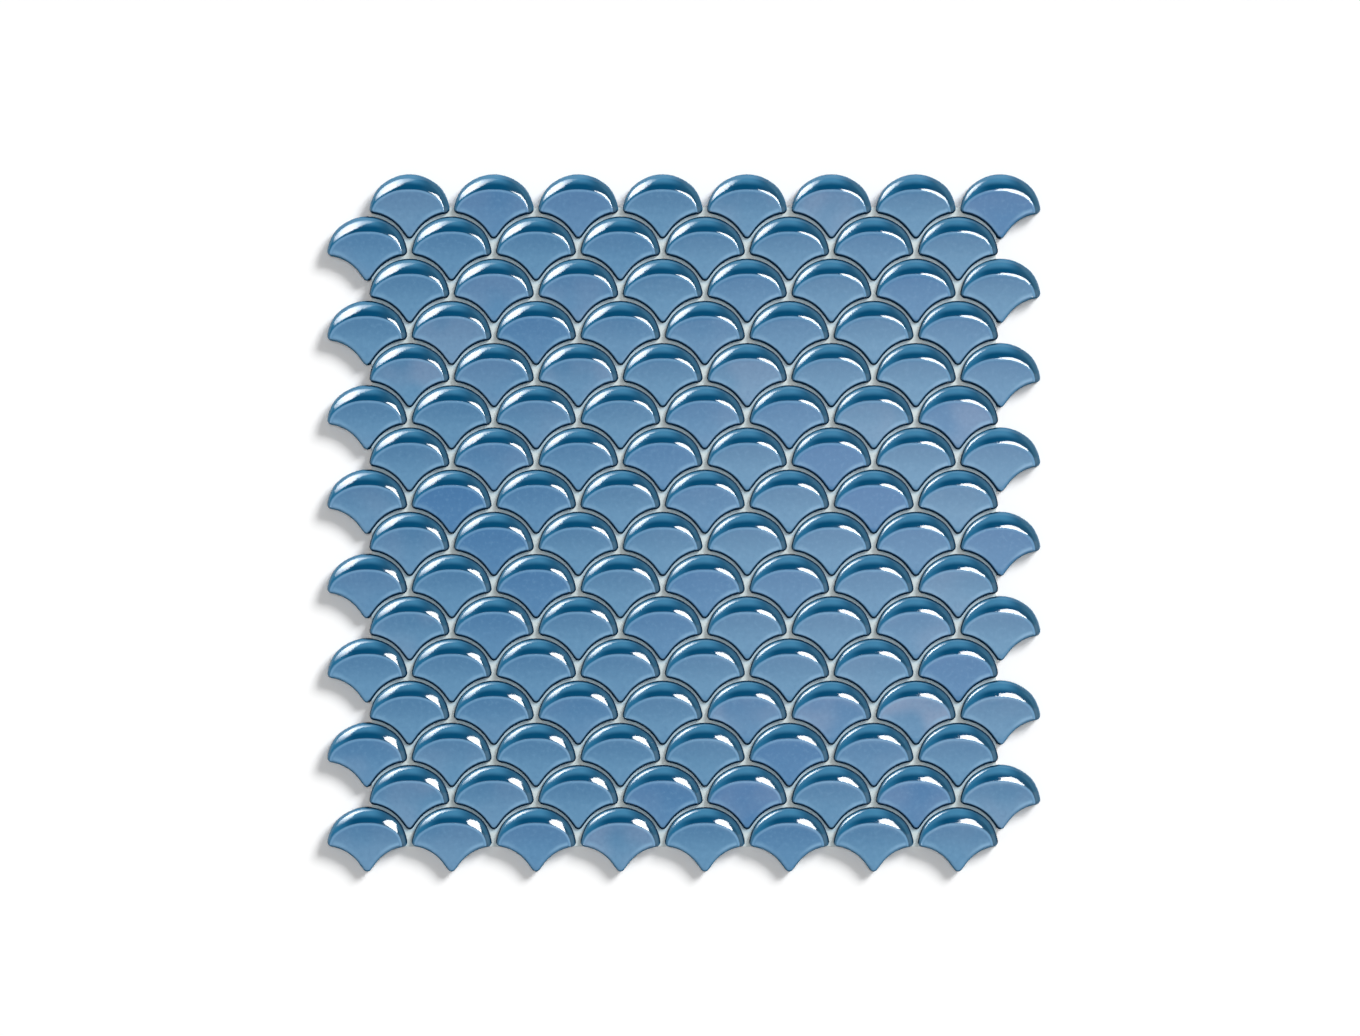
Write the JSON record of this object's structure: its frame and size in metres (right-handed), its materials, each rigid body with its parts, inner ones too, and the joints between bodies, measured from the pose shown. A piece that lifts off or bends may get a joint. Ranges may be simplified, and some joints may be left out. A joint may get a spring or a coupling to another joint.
{
  "type": "fish-scale glass mosaic tile sheet",
  "caption": "Flat mosaic sheet of bevelled fish-scale glass tiles in staggered rows on a woven backing net, for walls and splashbacks.",
  "frame": {"origin": "centre of the sheet's footprint, on the underside of the backing net", "axes": "+Z out of the glass face, +Y towards the rounded arches of the scales, +X along the rows"},
  "size_m": [0.317, 0.31, 0.0085],
  "materials": {
    "scale_glass": "glossy pressed glass, opaque blue",
    "backing_net": "matt glued glass-fibre net"
  },
  "bodies": {
    "root": {"scale_row_01": "scale_glass", "scale_row_02": "scale_glass", "scale_row_03": "scale_glass", "scale_row_04": "scale_glass", "scale_row_05": "scale_glass", "scale_row_06": "scale_glass", "scale_row_07": "scale_glass", "scale_row_08": "scale_glass", "scale_row_09": "scale_glass", "scale_row_10": "scale_glass", "scale_row_11": "scale_glass", "scale_row_12": "scale_glass", "scale_row_13": "scale_glass", "scale_row_14": "scale_glass", "scale_row_15": "scale_glass", "scale_row_16": "scale_glass", "backing_mesh": "backing_net"}
  },
  "joints": []
}
